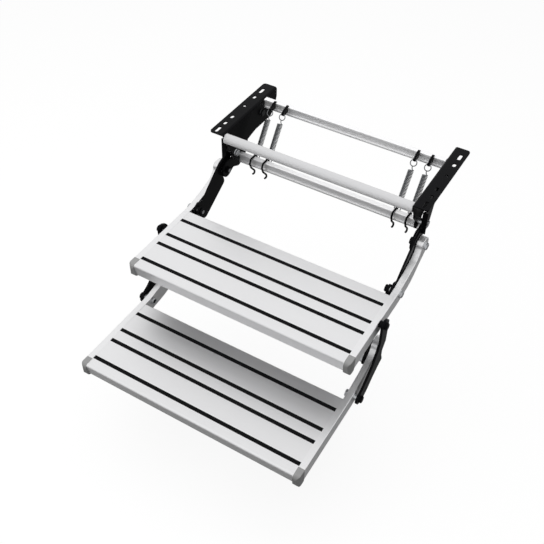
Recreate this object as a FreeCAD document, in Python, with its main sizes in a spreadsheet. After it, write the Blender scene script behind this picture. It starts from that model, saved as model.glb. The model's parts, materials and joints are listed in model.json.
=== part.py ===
import FreeCAD, Part
import math
import os

import Sketcher

# Double folding entry step for a caravan, unfolded.
# Frame: X across the step, +Y towards the vehicle, +Z up, in millimetres.
# The origin lies midway between the two round locating holes, on the top of the chassis flanges.

doc = FreeCAD.newDocument("entry_step")
sheet = doc.addObject("Spreadsheet::Sheet", "Sizes")

SIZES = [
    # Pivots in the side view, as Y and Z
    ("leg_pivot_y", -82.0),
    ("leg_pivot_z", -85.8),
    ("leg_run", 154.0),
    ("leg_drop", 90.2),
    ("arm_pivot_run", 124.3),
    ("arm_pivot_rise", 50.6),
    ("front_pivot_run", 110.0),
    ("front_pivot_rise", 3.3),
    ("drop_run", 94.3),
    ("drop_fall", 155.7),
    # Layers across the step, worked inwards from the ends of the treads
    ("tread_length", 550.0),
    ("leg_gap", 2.0),
    ("leg_thick", 5.0),
    ("leg_x", "=tread_length / 2 - leg_gap - leg_thick"),
    ("link_gap", 4.0),
    ("link_thick", 5.0),
    ("link_x", "=leg_x - link_gap - link_thick"),
    ("plate_gap", 5.0),
    ("plate_thick", 3.0),
    ("plate_x", "=link_x - plate_gap - plate_thick"),
    ("arm_width", 15.0),
    ("outer_gap", 8.0),
    ("outer_thick", 6.0),
    # Chassis brackets
    ("flange_width", 36.0),
    ("bracket_front_y", -140.0),
    ("bracket_rear_y", 120.0),
    ("hole_line_out", 25.0),
    ("hole_line_x", "=plate_x + hole_line_out"),
    ("slot_width", 8.5),
    ("long_slot", 24.0),
    ("short_slot", 14.0),
    ("round_hole_d", 8.5),
    ("long_front_y", -122.0),
    ("long_rear_y", 84.0),
    ("short_front_y", -90.0),
    ("short_middle_y", -58.0),
    ("short_rear_y", 48.0),
    # Cross members
    ("tube_y", -126.0),
    ("tube_z", -16.5),
    ("tube_d", 25.0),
    ("tube_wall", 1.5),
    ("rail_y", 62.0),
    ("rail_z", -15.4),
    ("rail_depth", 14.0),
    ("rail_height", 26.0),
    ("rail_groove", 3.0),
    ("rail_lip", 5.0),
    ("port_rise", 4.7),
    ("bar_along", 55.2),
    ("bar_below", 29.8),
    # Treads
    ("tread_depth", 227.7),
    ("tread_rise", 11.0),
    ("tread_gap", 26.3),
    ("nose_height", 38.5),
    ("nose_slant", 7.5),
    ("nose_r", 6.0),
    ("rear_height", 25.0),
    ("skin", 4.0),
    ("wall", 3.0),
    ("strip_width", 10.0),
    ("strip_thick", 2.5),
    ("strip_proud", 0.5),
    ("strip_first", 36.3),
    ("strip_to_nose", 32.1),
    ("strip_fourth", "=tread_depth - strip_to_nose"),
    ("strip_span", "=strip_fourth - strip_first"),
    ("strip_second", "=strip_first + strip_span * 609 / 1593"),
    ("strip_third", "=strip_first + strip_span * 975 / 1593"),
    ("nose_depth", 40.5),
    ("rear_depth", 24.0),
    ("rib_height", 14.0),
    ("rib_pitch", "=tread_depth * 375 / 2277"),
    # Arms
    ("arm_height", 37.4),
    ("arm_end_r", 20.9),
    ("cap_length", 28.0),
    ("cap_height", 42.0),
    ("cap_slant", 5.0),
    ("cap_corner_r", 13.0),
    ("cap_lap", 25.0),
    ("cap_proud", 0.6),
    ("lug_thick", 6.0),
    # Stop plate across the head of a leg
    ("stop_ahead", 21.0),
    ("stop_below", 15.5),
    ("stop_thick", 3.5),
    ("stop_height", 59.0),
    ("stop_reach", 8.0),
    # Springs
    ("spring_inset", 32.0),
    ("spring_pitch", 36.5),
    ("spring_outer_x", "=plate_x - spring_inset"),
    ("spring_inner_x", "=spring_outer_x - spring_pitch"),
    ("hook_top_y", 35.8),
    ("hook_top_z", -13.2),
    ("hook_low_y", -34.7),
    ("hook_low_z", -116.6),
    ("coil_d", 15.0),
    ("wire_d", 2.5),
    ("coil_start", 26.0),
    ("coil_length", 78.0),
    ("loop_r", 8.0),
    ("hook_wire_d", 5.0),
    ("eye_d", 4.6),
    ("strap_thick", 2.2),
    ("strap_lip", 6.0),
    ("anchor_width", 6.0),
    # Fasteners
    ("pin_d", 10.0),
    ("pin_play", 0.1),
    ("sleeve_d", 16.0),
    ("rail_screw_d", 5.0),
    ("rail_screw_head_d", 8.4),
    ("rail_screw_length", 25.0),
    ("screw_head", 3.0),
    ("head_across", 16.0),
    ("head_thick", 5.3),
    ("head_rim", 1.5),
    ("blind_wall", 2.0),
    ("washer_thick", 1.5),
    ("nut_thick", 6.5),
]

for row, (alias, value) in enumerate(SIZES, start=1):
    sheet.set("A%d" % row, alias)
    sheet.set("B%d" % row, str(value))
    sheet.setAlias("B%d" % row, alias)
doc.recompute()


def size(alias):
    """One driving size in millimetres."""
    return float(sheet.get(alias))


parts = []


def keep(thing, label):
    """Name a finished sub-part and list it."""
    thing.Label = label
    parts.append(thing)
    return thing


# Pivots worked out from the driving sizes
LEG_TOP = (size("leg_pivot_y"), size("leg_pivot_z"))
ARM_REAR = (size("arm_pivot_run"), size("arm_pivot_rise"))
ARM_FRONT = (-size("front_pivot_run"), size("front_pivot_rise"))
DROP = (-size("drop_run"), -size("drop_fall"))


def moved(point, step):
    """A side-view point moved by a step."""
    return (point[0] + step[0], point[1] + step[1])


LINK_TOP = moved(LEG_TOP, ARM_REAR)
LEG_FOOT = moved(LEG_TOP, (-size("leg_run"), -size("leg_drop")))
LINK_FOOT = moved(LEG_FOOT, ARM_REAR)
OUTER_TOP = moved(LEG_FOOT, ARM_FRONT)
OUTER_FOOT = moved(OUTER_TOP, DROP)
INNER_FOOT = moved(LEG_FOOT, DROP)
TREAD_END = size("tread_length") / 2


def along(start, end):
    """A function that turns (distance along, distance to the left) into a side-view point."""
    run = end[0] - start[0]
    rise = end[1] - start[1]
    reach = math.hypot(run, rise)
    unit = (run / reach, rise / reach)

    def place(far, left):
        y = start[0] + far * unit[0] - left * unit[1]
        z = start[1] + far * unit[1] + left * unit[0]
        return (y, z)

    return place


HOOK_TOP = (size("hook_top_y"), size("hook_top_z"))
HOOK_LOW = (size("hook_low_y"), size("hook_low_z"))
BAR = along(LINK_FOOT, LINK_TOP)(size("bar_along"), -size("bar_below"))
RAIL = (size("rail_y"), size("rail_z"))
PORTS = (-size("port_rise"), size("port_rise"))

SIDES = (("left", -1), ("right", 1))
SLOTS = (
    (size("long_front_y"), size("long_slot")),
    (size("short_front_y"), size("short_slot")),
    (size("short_middle_y"), size("short_slot")),
    (size("short_rear_y"), size("short_slot")),
    (size("long_rear_y"), size("long_slot")),
)
STRIPS = (size("strip_first"), size("strip_second"), size("strip_third"), size("strip_fourth"))
SPRINGS = (
    ("left_outer", -size("spring_outer_x")),
    ("left_inner", -size("spring_inner_x")),
    ("right_inner", size("spring_inner_x")),
    ("right_outer", size("spring_outer_x")),
)

# Faces across the step, as formulas of the sizes
PLATE_FACE = "(Sizes.plate_x + Sizes.plate_thick)"
LINK_FACE = "(Sizes.link_x + Sizes.link_thick)"
LEG_FACE = "(Sizes.leg_x + Sizes.leg_thick)"
ARM_LAYER = "(Sizes.tread_length / 2)"
ARM_FACE = "(%s + Sizes.arm_width)" % ARM_LAYER
LUG_LAYER = "(%s - Sizes.lug_thick)" % ARM_LAYER
OUTER_LAYER = "(%s + Sizes.outer_gap)" % ARM_FACE
OUTER_FACE = "(%s + Sizes.outer_thick)" % OUTER_LAYER
INSIDE_NUT = "(Sizes.link_x - Sizes.nut_thick)"

# Radii and lengths of the fasteners, as formulas
PIN = "Sizes.pin_d / 2"
PIN_HOLE = "Sizes.pin_d / 2 + Sizes.pin_play"
SCREW = "Sizes.rail_screw_d / 2"
SCREW_HOLE = "Sizes.rail_screw_d / 2 + Sizes.pin_play"
SCREW_HEAD = "Sizes.rail_screw_head_d / 2"
SLEEVE = "Sizes.sleeve_d / 2"
NUT = "Sizes.nut_thick"
HEX = "Sizes.head_across / sqrt(3)"
HEAD_FLANGE = "Sizes.head_across / 2 + Sizes.head_rim"


# Outlines


def rounded(corners, closed=True):
    """Lines and anticlockwise arcs through (first, second, radius) corners, as (edge, flipped)."""
    count = len(corners)
    ends = []
    for i, corner in enumerate(corners):
        here = FreeCAD.Vector(corner[0], corner[1], 0)
        radius = corner[2] if len(corner) > 2 else 0
        if radius <= 0:
            ends.append((here, None, here))
            continue
        before = corners[i - 1]
        after = corners[(i + 1) % count]
        back = FreeCAD.Vector(before[0], before[1], 0) - here
        ahead = FreeCAD.Vector(after[0], after[1], 0) - here
        half = back.getAngle(ahead) / 2
        flipped = back.cross(ahead).z > 0
        back.normalize()
        ahead.normalize()
        inward = back + ahead
        inward.normalize()
        centre = here + inward * (radius / math.sin(half))
        cut = radius / math.tan(half)
        start = here + back * cut
        end = here + ahead * cut
        first, last = (end, start) if flipped else (start, end)
        first_angle = math.atan2(first.y - centre.y, first.x - centre.x)
        last_angle = math.atan2(last.y - centre.y, last.x - centre.x)
        if last_angle < first_angle:
            last_angle += 2 * math.pi
        circle = Part.Circle(centre, FreeCAD.Vector(0, 0, 1), radius)
        ends.append((start, (Part.ArcOfCircle(circle, first_angle, last_angle), flipped), end))
    edges = []
    for i, (start, arc, end) in enumerate(ends):
        if arc is not None:
            edges.append(arc)
        following = ends[(i + 1) % count][0]
        last_one = i == count - 1 and not closed
        if (following - end).Length > 1e-6 and not last_one:
            edges.append((Part.LineSegment(end, following), False))
    return edges


def new_sketch(body, role="YZ_Plane"):
    """An empty sketch on one of a body's own origin planes."""
    sketch = body.newObject("Sketcher::SketchObject", "Sketch")
    plane = [item for item in body.Origin.OriginFeatures if item.Role == role][0]
    sketch.AttachmentSupport = [(plane, "")]
    sketch.MapMode = "FlatFace"
    return sketch


def add_outline(sketch, corners):
    """Draw a closed outline whose edges are held end to end."""
    first = sketch.GeometryCount
    edges = rounded(corners)
    sketch.addGeometry([edge for edge, flipped in edges], False)
    for i, (edge, flipped) in enumerate(edges):
        after = (i + 1) % len(edges)
        leaving = 1 if flipped else 2
        arriving = 2 if edges[after][1] else 1
        joint = Sketcher.Constraint("Coincident", first + i, leaving, first + after, arriving)
        sketch.addConstraint(joint)


def add_hole(sketch, centre, formula):
    """A circle whose radius follows a formula of named sizes."""
    circle = Part.Circle(FreeCAD.Vector(centre[0], centre[1], 0), FreeCAD.Vector(0, 0, 1), 1.0)
    index = sketch.addGeometry(circle, False)
    number = sketch.addConstraint(Sketcher.Constraint("Radius", index, 1.0))
    sketch.addConstraint(Sketcher.Constraint("DistanceX", index, 3, centre[0]))
    sketch.addConstraint(Sketcher.Constraint("DistanceY", index, 3, centre[1]))
    sketch.setExpression("Constraints[%d]" % number, formula)


def add_pad(body, sketch, formula, side=1):
    """A pad away from the middle of the step: +X on the right (1), -X on the left (-1)."""
    feature = body.newObject("PartDesign::Pad", "Pad")
    feature.Profile = sketch
    feature.Reversed = side < 0
    feature.setExpression("Length", formula)
    sketch.Visibility = False
    return feature


def edges_where(shape, test):
    """Names of the edges whose every vertex passes a test."""
    names = []
    for number, edge in enumerate(shape.Edges, start=1):
        if all(test(vertex.Point) for vertex in edge.Vertexes):
            names.append("Edge%d" % number)
    return names


def dress(body, kind, base, edges, amount):
    """A fillet or a chamfer on named edges."""
    feature = body.newObject("PartDesign::" + kind, kind)
    feature.Base = (base, edges)
    if kind == "Fillet":
        feature.Radius = amount
    else:
        feature.Size = amount
    return feature


def to_layer(thing, side, inner):
    """Move a piece that starts at X = 0 out to its layer."""
    thing.setExpression("Placement.Base.x", inner if side > 0 else "-(%s)" % inner)


def add_plate(label, side, corners, holes, inner, thick):
    """A flat plate in the side view with round pin holes."""
    body = doc.addObject("PartDesign::Body", label)
    sketch = new_sketch(body)
    add_outline(sketch, corners)
    for hole in holes:
        add_hole(sketch, hole, PIN_HOLE)
    add_pad(body, sketch, thick, side)
    to_layer(body, side, inner)
    return keep(body, label)


def shifted(corners, home):
    """Corners given about a point, as side-view corners."""
    return [(c[0] + home[0], c[1] + home[1]) + tuple(c[2:]) for c in corners]


def turned(place, corners):
    """Corners given along a link, as side-view corners."""
    return [place(far, left) + (radius,) for far, left, radius in corners]


# Chassis brackets

BEND_R = 3.0
FLANGE_CORNER_R = 8.0
LOBE_R = 20.0


def add_bracket(name, side):
    """A folded bracket: a shaped side plate under a slotted flange."""
    front = size("bracket_front_y")
    rear = size("bracket_rear_y")
    thick = size("plate_thick")
    low = LEG_TOP[1] - LOBE_R
    corners = [
        (front, 0),
        (rear, 0),
        (rear, -25.0, 8),
        (rear - 10, -55.0, 10),
        (rear - 32, -71.5, 12),
        (LEG_TOP[0] + 95, -70.5, 20),
        (LEG_TOP[0] + 64, -77.0, 15),
        (LEG_TOP[0] + LOBE_R, LEG_TOP[1] + 2, 12),
        (LEG_TOP[0] + LOBE_R, low, LOBE_R - 0.1),
        (LEG_TOP[0] - LOBE_R, low, LOBE_R - 0.1),
        (LEG_TOP[0] - LOBE_R, -74.0, 8),
        (front + 23, -55.0, 10),
        (front + 20, -42.0, 10),
    ]
    body = doc.addObject("PartDesign::Body", "Bracket")
    web = new_sketch(body)
    add_outline(web, corners)
    for hole in (LEG_TOP, LINK_TOP):
        add_hole(web, hole, PIN_HOLE)
    for rise in PORTS:
        add_hole(web, moved(RAIL, (0, rise)), SCREW_HOLE)
    add_pad(body, web, "Sizes.plate_thick", side)
    flange = new_sketch(body)
    add_outline(flange, [(front, 0), (rear, 0), (rear, -thick), (front, -thick)])
    add_pad(body, flange, "Sizes.plate_thick + Sizes.flange_width", side)
    doc.recompute()
    outer_bend = edges_where(body.Shape, lambda p: abs(p.x) < 1e-6 and abs(p.z) < 1e-6)
    bend = dress(body, "Fillet", body.Tip, outer_bend, thick + BEND_R)
    doc.recompute()
    inner_bend = edges_where(
        body.Shape, lambda p: abs(abs(p.x) - thick) < 1e-6 and abs(p.z + thick) < 1e-6
    )
    bend = dress(body, "Fillet", bend, inner_bend, BEND_R)
    doc.recompute()
    tips = edges_where(body.Shape, lambda p: abs(abs(p.x) - thick - size("flange_width")) < 1e-6)
    corners_only = []
    for edge_name in tips:
        edge = body.Shape.getElement(edge_name)
        if abs(edge.Length - thick) < 1e-6:
            corners_only.append(edge_name)
    dress(body, "Fillet", bend, corners_only, FLANGE_CORNER_R)
    doc.recompute()
    solid_before = body.Shape.Volume
    slots = new_sketch(body, "XY_Plane")
    line = side * (size("hole_line_x") - size("plate_x"))
    half = size("slot_width") / 2
    for middle, length in SLOTS:
        reach = length / 2
        box = [
            (line - half, middle - reach, half),
            (line + half, middle - reach, half),
            (line + half, middle + reach, half),
            (line - half, middle + reach, half),
        ]
        add_outline(slots, box)
    add_hole(slots, (line, 0), "Sizes.round_hole_d / 2")
    pocket = body.newObject("PartDesign::Pocket", "Pocket")
    pocket.Profile = slots
    pocket.Reversed = False
    pocket.setExpression("Length", "Sizes.plate_thick * 2")
    slots.Visibility = False
    doc.recompute()
    if body.Shape.Volume >= solid_before:
        raise RuntimeError("the flange slots cut nothing")
    to_layer(body, side, "Sizes.plate_x")
    keep(body, name + "_bracket")


# Round things that lie across the step


def across(kind, point, start, length, side, **sizes):
    """A cylinder or hexagon along X from a distance off the middle, on either side."""
    thing = doc.addObject("Part::" + kind, kind)
    for name, formula in sizes.items():
        thing.setExpression(name, formula)
    thing.setExpression("Height", length)
    turn = FreeCAD.Rotation(FreeCAD.Vector(0, 1, 0), 90 * side)
    thing.Placement = FreeCAD.Placement(FreeCAD.Vector(0, point[0], point[1]), turn)
    thing.setExpression("Placement.Base.x", start if side > 0 else "-(%s)" % start)
    thing.Visibility = False
    return thing


def fuse(things):
    """Solids joined into one."""
    joined = doc.addObject("Part::MultiFuse", "Fuse")
    joined.Shapes = things
    return joined


def cut(base, tool):
    """One solid less another."""
    hollow = doc.addObject("Part::Cut", "Cut")
    hollow.Base = base
    hollow.Tool = tool
    return hollow


def group(label, things):
    """Separate solids that share one name."""
    both = doc.addObject("Part::Compound", "Group")
    both.Links = things
    return keep(both, label)


def add_bolts(label, point, head_face, end, outward):
    """A flanged hexagon bolt on each side, from the face under its head to its end."""
    near, far = (end, head_face) if outward else (head_face, end)
    if outward:
        flange_start = head_face
        head_start = head_face + " + Sizes.washer_thick"
    else:
        flange_start = head_face + " - Sizes.washer_thick"
        head_start = flange_start + " - Sizes.head_thick"
    bolts = []
    for side in (-1, 1):
        shank = across("Cylinder", point, near, "%s - (%s)" % (far, near), side, Radius=PIN)
        flange = across("Cylinder", point, flange_start, "Sizes.washer_thick", side, Radius=HEAD_FLANGE)
        head = across("Prism", point, head_start, "Sizes.head_thick", side, Circumradius=HEX)
        bolts.append(fuse([shank, flange, head]))
    return group(label, bolts)


def add_rings(label, point, start, length, outer, shape="Cylinder"):
    """A sleeve or a nut round the pin on each side."""
    rings = []
    for side in (-1, 1):
        radius_name = "Radius" if shape == "Cylinder" else "Circumradius"
        body = across(shape, point, start, length, side, **{radius_name: outer})
        bore = across("Cylinder", point, start, length, side, Radius=PIN_HOLE)
        rings.append(cut(body, bore))
    return group(label, rings)


# Cross members


def rail_section(centre):
    """The grooved section of the rear rail and the spring bar."""
    deep = size("rail_depth") / 2
    high = size("rail_height") / 2
    groove = size("rail_groove")
    shoulder = high - size("rail_lip")
    corners = [
        (-deep, -high, 1.5),
        (deep, -high, 1.5),
        (deep, -shoulder),
        (deep - groove, -shoulder + 1.0),
        (deep - groove, shoulder - 1.0),
        (deep, shoulder),
        (deep, high, 1.5),
        (-deep, high, 1.5),
        (-deep, shoulder),
        (-deep + groove, shoulder - 1.0),
        (-deep + groove, -shoulder + 1.0),
        (-deep, -shoulder),
    ]
    return shifted(corners, centre)


def add_rail(label, centre, half_length):
    """An extruded rail with a screw port near its top and its bottom."""
    body = doc.addObject("PartDesign::Body", "Rail")
    sketch = new_sketch(body)
    add_outline(sketch, rail_section(centre))
    for rise in PORTS:
        add_hole(sketch, moved(centre, (0, rise)), SCREW_HOLE)
    add_pad(body, sketch, "2 * (%s)" % half_length)
    body.setExpression("Placement.Base.x", "-(%s)" % half_length)
    return keep(body, label)


def add_rail_screws(label, centre, seat):
    """Two pan-head screws into the ports at each end of a rail."""
    screws = []
    for side in (-1, 1):
        for rise in PORTS:
            point = moved(centre, (0, rise))
            tip = seat + " - Sizes.rail_screw_length"
            shank = across("Cylinder", point, tip, "Sizes.rail_screw_length", side, Radius=SCREW)
            head = across("Cylinder", point, seat, "Sizes.screw_head", side, Radius=SCREW_HEAD)
            screws.append(fuse([shank, head]))
    return group(label, screws)


def add_front_tube():
    """The round tube between the front corners of the brackets."""
    point = (size("tube_y"), size("tube_z"))
    start = "-Sizes.plate_x"
    length = "2 * Sizes.plate_x"
    outside = across("Cylinder", point, start, length, 1, Radius="Sizes.tube_d / 2")
    inside = across("Cylinder", point, start, length, 1, Radius="Sizes.tube_d / 2 - Sizes.tube_wall")
    keep(cut(outside, inside), "front_tube")


# Legs and links


def add_leg(name, side):
    """The wide leg plate from the bracket to the upper step, with a stop plate across its head."""
    place = along(LEG_FOOT, LEG_TOP)
    reach = math.hypot(size("leg_run"), size("leg_drop"))
    corners = turned(place, [
        (-17, -17, 16),
        (-17, 17, 16.5),
        (14, 17, 9),
        (24, -1.5, 6),
        (57, 5, 60),
        (reach - 50, 15.5, 30),
        (reach - 18.5, 9.8, 6),
        (reach + 4, 48.3, 3),
        (reach + 12, 42, 8),
        (reach + 20, 18, 14),
        (reach + 20, -16, 16),
        (reach - 14, -16, 14),
        (reach - 34, -9, 10),
        (reach - 56.5, -9, 4),
        (reach - 67, -52, 9),
        (2, -56, 12),
    ])
    body = doc.addObject("PartDesign::Body", "Leg")
    sketch = new_sketch(body)
    add_outline(sketch, corners)
    for hole in (LEG_FOOT, LEG_TOP):
        add_hole(sketch, hole, PIN_HOLE)
    add_pad(body, sketch, "Sizes.leg_thick", side)
    stop = new_sketch(body)
    front = LEG_TOP[0] - size("stop_ahead")
    back = front + size("stop_thick")
    low = LEG_TOP[1] - size("stop_below")
    high = low + size("stop_height")
    add_outline(stop, [(front, low), (back, low), (back, high), (front, high)])
    add_pad(body, stop, "Sizes.leg_thick + Sizes.stop_reach", side)
    to_layer(body, side, "Sizes.leg_x")
    keep(body, "leg_" + name)


def add_link(name, side):
    """The upper link, with a lobe that carries the spring bar."""
    place = along(LINK_FOOT, LINK_TOP)
    reach = math.hypot(size("leg_run"), size("leg_drop"))
    bar = size("bar_along")
    below = -size("bar_below")
    corners = turned(place, [
        (-20, 20, 19.9),
        (20, 20, 10),
        (32, 8.5, 10),
        (62, 8.5, 30),
        (reach - 30, 13, 30),
        (reach + 13, 13, 12.9),
        (reach + 13, -13, 12.9),
        (bar + 55, -13, 25),
        (bar + 19, below - 15, 14),
        (bar - 19, below - 15, 14),
        (20, -20, 8),
        (-20, -20, 19.9),
    ])
    body = doc.addObject("PartDesign::Body", "Link")
    sketch = new_sketch(body)
    add_outline(sketch, corners)
    for hole in (LINK_FOOT, LINK_TOP):
        add_hole(sketch, hole, PIN_HOLE)
    for rise in PORTS:
        add_hole(sketch, moved(BAR, (0, rise)), SCREW_HOLE)
    add_pad(body, sketch, "Sizes.link_thick", side)
    to_layer(body, side, "Sizes.link_x")
    keep(body, "upper_link_" + name)


def add_outer_drop_link(name, side):
    """The bowed outer link from the upper arm to the lower arm."""
    place = along(OUTER_TOP, OUTER_FOOT)
    reach = math.hypot(DROP[0], DROP[1])
    corners = turned(place, [
        (-14, -14, 12),
        (-14, 16, 12.5),
        (47, 52, 4),
        (72, 50, 10),
        (87, 60, 8),
        (100, 76, 4),
        (118, 62, 12),
        (142, 48, 60),
        (reach - 14, 38, 60),
        (reach + 14, 18, 13),
        (reach + 14, -14, 13),
        (reach - 3, -13, 8),
        (reach - 27, 2, 40),
        (130, 12, 40),
        (105, 20, 40),
        (70, 20, 40),
        (44, 15, 40),
        (3, -13, 8),
    ])
    pivots = (OUTER_TOP, OUTER_FOOT)
    add_plate("outer_drop_link_" + name, side, corners, pivots, OUTER_LAYER, "Sizes.outer_thick")


def add_inner_drop_link(name, side):
    """The straight inner link behind the upper tread."""
    place = along(LEG_FOOT, INNER_FOOT)
    reach = math.hypot(DROP[0], DROP[1])
    corners = turned(place, [
        (-12, -11, 10.9),
        (-12, 11, 10.9),
        (reach + 12, 11, 10.9),
        (reach + 12, -11, 10.9),
    ])
    pivots = (LEG_FOOT, INNER_FOOT)
    add_plate("inner_drop_link_" + name, side, corners, pivots, "Sizes.link_x", "Sizes.link_thick")


# Steps


def tread_outline(home):
    """The outside of a tread's section, with its strip grooves and stiffening ribs."""
    top = size("tread_rise")
    rear = -size("tread_gap")
    nose = rear - size("tread_depth")
    under = top - size("skin")
    half = size("strip_width") / 2
    box = size("rear_depth")
    chin = size("nose_depth")
    rib_foot = under - size("rib_height")
    corners = [(rear, top, 2.5)]
    for ahead in STRIPS:
        middle = rear - ahead
        corners += [
            (middle + half, top),
            (middle + half, top - size("strip_thick")),
            (middle - half, top - size("strip_thick")),
            (middle - half, top),
        ]
    corners += [
        (nose, top, size("nose_r")),
        (nose + size("nose_slant"), top - size("nose_height"), size("nose_r")),
        (nose + chin, top - size("nose_height"), 1),
        (nose + chin, under, 1),
    ]
    for number in (4, 3, 2):
        rib = rear - number * size("rib_pitch")
        corners += [
            (rib - size("wall") / 2, under),
            (rib - size("wall") / 2, rib_foot),
            (rib + size("wall") / 2, rib_foot),
            (rib + size("wall") / 2, under),
        ]
    corners += [
        (rear - box, under, 1),
        (rear - box, top - size("rear_height"), 1),
        (rear, top - size("rear_height"), 1.5),
    ]
    return shifted(corners, home)


def tread_hollows(home):
    """The closed chambers in a tread's nose and rear edge."""
    top = size("tread_rise")
    rear = -size("tread_gap")
    nose = rear - size("tread_depth")
    under = top - size("skin")
    wall = size("wall")
    chin = size("nose_depth")
    box = size("rear_depth")
    inner_r = size("nose_r") - wall
    front = [
        (nose + wall, under, inner_r),
        (nose + chin - wall, under, 1),
        (nose + chin - wall, top - size("nose_height") + wall, 1),
        (nose + size("nose_slant") + wall, top - size("nose_height") + wall, inner_r),
    ]
    back = [
        (rear - box + wall, under, 1),
        (rear - wall, under, 1),
        (rear - wall, top - size("rear_height") + wall, 1),
        (rear - box + wall, top - size("rear_height") + wall, 1),
    ]
    return [shifted(front, home), shifted(back, home)]


def add_step(name, home, holes):
    """A tread with its strips, arms and end caps, about its main pivot."""
    body = doc.addObject("PartDesign::Body", "Tread")
    sketch = new_sketch(body)
    add_outline(sketch, tread_outline(home))
    for hollow in tread_hollows(home):
        add_outline(sketch, hollow)
    add_pad(body, sketch, "Sizes.tread_length")
    body.setExpression("Placement.Base.x", "-Sizes.tread_length / 2")
    keep(body, name + "_tread")
    strips = []
    for ahead in STRIPS:
        strip = doc.addObject("Part::Box", "Strip")
        strip.setExpression("Length", "Sizes.tread_length")
        strip.setExpression("Width", "Sizes.strip_width")
        strip.setExpression("Height", "Sizes.strip_thick + Sizes.strip_proud")
        low = home[1] + size("tread_rise") - size("strip_thick")
        middle = home[0] - size("tread_gap") - ahead
        strip.Placement.Base = FreeCAD.Vector(-TREAD_END, middle - size("strip_width") / 2, low)
        strips.append(strip)
    group(name + "_grip_strips", strips)
    for side_name, side in SIDES:
        add_arm(name, side_name, side, home, holes)
        add_cap(name, side_name, side, home)


def add_arm(name, side_name, side, home, holes):
    """The side arm: straight beside the tread, then swept up to its rear pivot."""
    top = size("tread_rise")
    low = top - size("arm_height")
    front = size("cap_lap") - size("tread_gap") - size("tread_depth")
    end_y, end_z = ARM_REAR
    end_r = size("arm_end_r")
    corners = shifted([
        (front, top),
        (-11, top + 0.5, 150),
        (end_y - 79, top + 11, 120),
        (end_y - 34, end_z - 14, 40),
        (end_y - end_r, end_z + 4, 12),
        (end_y - end_r, end_z + end_r, 12),
        (end_y + end_r, end_z + end_r, end_r - 0.1),
        (end_y + end_r, end_z - 18, 18),
        (end_y - 22, end_z - 42, 50),
        (end_y - 60, low + 8, 100),
        (-5.5, low, 150),
        (front, low),
    ], home)
    body = doc.addObject("PartDesign::Body", "Arm")
    sketch = new_sketch(body)
    add_outline(sketch, corners)
    for hole in holes:
        add_hole(sketch, moved(home, hole), PIN_HOLE)
    block = add_pad(body, sketch, "Sizes.arm_width", side)
    doc.recompute()
    wide = size("arm_width")
    rim = edges_where(body.Shape, lambda p: abs(abs(p.x) - wide) < 1e-6)
    rim = [edge for edge in rim if not is_circle(body.Shape.getElement(edge))]
    dress(body, "Chamfer", block, rim, 1.0)
    to_layer(body, side, "Sizes.tread_length / 2")
    keep(body, "%s_arm_%s" % (name, side_name))


def is_circle(edge):
    """Whether an edge closes on itself, as a hole's does."""
    return len(edge.Vertexes) == 1


def add_cap(name, side_name, side, home):
    """The moulded cap over the front end of an arm."""
    proud = size("cap_proud")
    top = size("tread_rise") + proud
    joint = size("cap_lap") - size("tread_gap") - size("tread_depth")
    front = joint - size("cap_length")
    low = top - size("cap_height")
    corners = shifted([
        (joint, top),
        (front, top, 12),
        (front + size("cap_slant"), low, 14),
        (joint, low, 4),
    ], home)
    body = doc.addObject("PartDesign::Body", "Cap")
    sketch = new_sketch(body)
    add_outline(sketch, corners)
    block = add_pad(body, sketch, "Sizes.arm_width + Sizes.cap_proud", side)
    doc.recompute()
    wide = size("arm_width") + proud
    rim = edges_where(body.Shape, lambda p: abs(abs(p.x) - wide) < 1e-6)
    dress(body, "Fillet", block, rim, 1.5)
    radius = size("cap_corner_r")
    inner = side * (wide - radius - 1)
    edge = side * wide
    outside = side * (wide + 1)
    trim = [
        (inner, front - 1),
        (outside, front - 1),
        (outside, front + radius + 1),
        (edge, front + radius + 1),
        (edge, front, radius),
        (inner, front),
    ]
    plan = new_sketch(body, "XY_Plane")
    add_outline(plan, shifted(trim, (0, home[0])))
    corner = body.newObject("PartDesign::Pocket", "Pocket")
    corner.Profile = plan
    corner.Reversed = False
    corner.setExpression("Length", "Sizes.tread_length")
    plan.Visibility = False
    to_layer(body, side, "Sizes.tread_length / 2")
    keep(body, "%s_end_cap_%s" % (name, side_name))


def add_lug(name, side):
    """The plate on the lower arm that carries the inner link."""
    home = OUTER_FOOT
    hole = (-ARM_FRONT[0], -ARM_FRONT[1])
    corners = shifted([
        (hole[0] - 14, hole[1] - 14, 13),
        (hole[0] + 14, hole[1] - 14, 13),
        (hole[0] + 26, 44, 8),
        (hole[0], 48, 8),
        (hole[0] - 22, 24, 8),
    ], home)
    add_plate("lower_lug_" + name, side, corners, (INNER_FOOT,), LUG_LAYER, "Sizes.lug_thick")


# Springs and their hooks


SIDE_VIEW = FreeCAD.Rotation(
    FreeCAD.Vector(0, 1, 0), FreeCAD.Vector(0, 0, 1), FreeCAD.Vector(1, 0, 0), "XYZ"
)


def side_wire(points, x):
    """A bent wire's middle line in the side view, at one distance across."""
    wire = Part.Wire([edge.toShape() for edge, flipped in rounded(points, closed=False)])
    wire.Placement = FreeCAD.Placement(FreeCAD.Vector(x, 0, 0), SIDE_VIEW)
    return wire


def at(point, x):
    """A side-view point at a distance across."""
    return FreeCAD.Vector(x, point[0], point[1])


def bare(shape, name):
    """A document object for a shape made with Part's own functions."""
    thing = doc.addObject("Part::Feature", name)
    thing.Shape = shape
    return thing


HOOK_RISE = size("rail_height") / 2 + size("hook_wire_d") / 2
HOOK_PATH = shifted([
    (16.5, -3.0),
    (15.0, 9.0, 4),
    (9.0, HOOK_RISE, 4),
    (-13.0, HOOK_RISE, 4),
    (-19.0, 4.0, 8),
    (-12.5, -12.0, 8),
    (4.0, -31.0, 6),
    (5.0, -40.0, 3.5),
    (-4.0, -38.0),
], BAR)


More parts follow.
